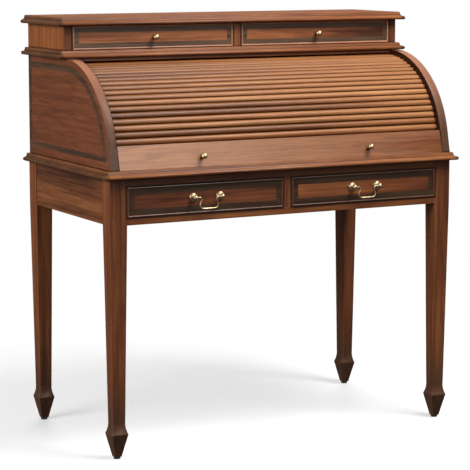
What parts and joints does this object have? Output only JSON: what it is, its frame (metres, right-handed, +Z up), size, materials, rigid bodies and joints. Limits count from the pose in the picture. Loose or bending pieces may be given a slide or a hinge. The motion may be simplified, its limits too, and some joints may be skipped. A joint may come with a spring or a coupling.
{
  "type": "roll top desk",
  "caption": "Writing desk on tapered spade-foot legs with two bail-pull drawers, a roll-up slatted tambour over pigeonholes, and a low two-drawer case on top",
  "frame": {"origin": "on the floor, midway between the two sides and midway between the pulls' tips and the back", "axes": "+X to the sitter's right, +Y from the front to the back, +Z up"},
  "size_m": [1.04, 0.541, 1.0945],
  "materials": {
    "mahogany": "stained mahogany under satin lacquer, grain along each board",
    "dark_banding": "dark stained banding and beads under the same satin lacquer",
    "drawer_wood": "pale unstained drawer lining, waxed",
    "back_panel": "thin stained board, matt",
    "antique_brass": "antique brass, polished with darker hollows",
    "canvas": "plain woven cotton canvas",
    "glide_plastic": "black moulded glide",
    "screw_steel": "zinc plated"
  },
  "bodies": {
    "desk": {"back_apron": "mahogany", "case_back": "back_panel", "case_side_left": "mahogany", "case_side_right": "mahogany", "desktop": "mahogany", "desktop_screws": "screw_steel", "drawer_divider": "mahogany", "drawer_kickers": "drawer_wood", "drawer_rail_bottom": "mahogany", "drawer_rail_top": "mahogany", "drawer_runners": "drawer_wood", "foot_glides": "glide_plastic", "gallery_back": "mahogany", "gallery_top": "mahogany", "gallery_uprights": "mahogany", "header_rail": "mahogany", "leg_back_left": "mahogany", "leg_back_right": "mahogany", "leg_front_left": "mahogany", "leg_front_right": "mahogany", "side_apron_left": "mahogany", "side_apron_right": "mahogany", "side_inlay_left": "dark_banding", "side_inlay_right": "dark_banding", "top_board": "mahogany", "upper_back": "back_panel", "upper_divider": "mahogany", "upper_shelf": "mahogany", "upper_side_left": "mahogany", "upper_side_right": "mahogany"},
    "tambour": {"tambour_cloth": "canvas", "tambour_knobs": "antique_brass", "tambour_rail": "mahogany", "tambour_slats": "mahogany"},
    "lower_bail_left": {"lower_drawer_left_bail": "antique_brass"},
    "lower_drawer_left": {"lower_drawer_left_band": "dark_banding", "lower_drawer_left_bead": "dark_banding", "lower_drawer_left_bottom": "drawer_wood", "lower_drawer_left_box": "drawer_wood", "lower_drawer_left_front": "mahogany", "lower_drawer_left_posts": "antique_brass"},
    "lower_bail_right": {"lower_drawer_right_bail": "antique_brass"},
    "lower_drawer_right": {"lower_drawer_right_band": "dark_banding", "lower_drawer_right_bead": "dark_banding", "lower_drawer_right_bottom": "drawer_wood", "lower_drawer_right_box": "drawer_wood", "lower_drawer_right_front": "mahogany", "lower_drawer_right_posts": "antique_brass"},
    "upper_drawer_left": {"upper_drawer_left_band": "dark_banding", "upper_drawer_left_bead": "dark_banding", "upper_drawer_left_bottom": "drawer_wood", "upper_drawer_left_box": "drawer_wood", "upper_drawer_left_front": "mahogany", "upper_drawer_left_knob": "antique_brass"},
    "upper_drawer_right": {"upper_drawer_right_band": "dark_banding", "upper_drawer_right_bead": "dark_banding", "upper_drawer_right_bottom": "drawer_wood", "upper_drawer_right_box": "drawer_wood", "upper_drawer_right_front": "mahogany", "upper_drawer_right_knob": "antique_brass"}
  },
  "joints": [
    {"name": "tambour_roll", "type": "hinge", "parent": "desk", "child": "tambour", "pos_m": [0, 0.0175, 0.728], "axis": [-1, 0, 0], "range_deg": [0, 70]},
    {"name": "lower_drawer_left_slide", "type": "slide", "parent": "desk", "child": "lower_drawer_left", "axis": [0, -1, 0], "range_m": [0, 0.32]},
    {"name": "lower_bail_left_swing", "type": "hinge", "parent": "lower_drawer_left", "child": "lower_bail_left", "pos_m": [-0.233, -0.2625, 0.652], "axis": [-1, 0, 0], "range_deg": [-10, 150]},
    {"name": "upper_drawer_left_slide", "type": "slide", "parent": "desk", "child": "upper_drawer_left", "axis": [0, -1, 0], "range_m": [0, 0.15]},
    {"name": "lower_drawer_right_slide", "type": "slide", "parent": "desk", "child": "lower_drawer_right", "axis": [0, -1, 0], "range_m": [0, 0.32]},
    {"name": "lower_bail_right_swing", "type": "hinge", "parent": "lower_drawer_right", "child": "lower_bail_right", "pos_m": [0.233, -0.2625, 0.652], "axis": [-1, 0, 0], "range_deg": [-10, 150]},
    {"name": "upper_drawer_right_slide", "type": "slide", "parent": "desk", "child": "upper_drawer_right", "axis": [0, -1, 0], "range_m": [0, 0.15]}
  ]
}
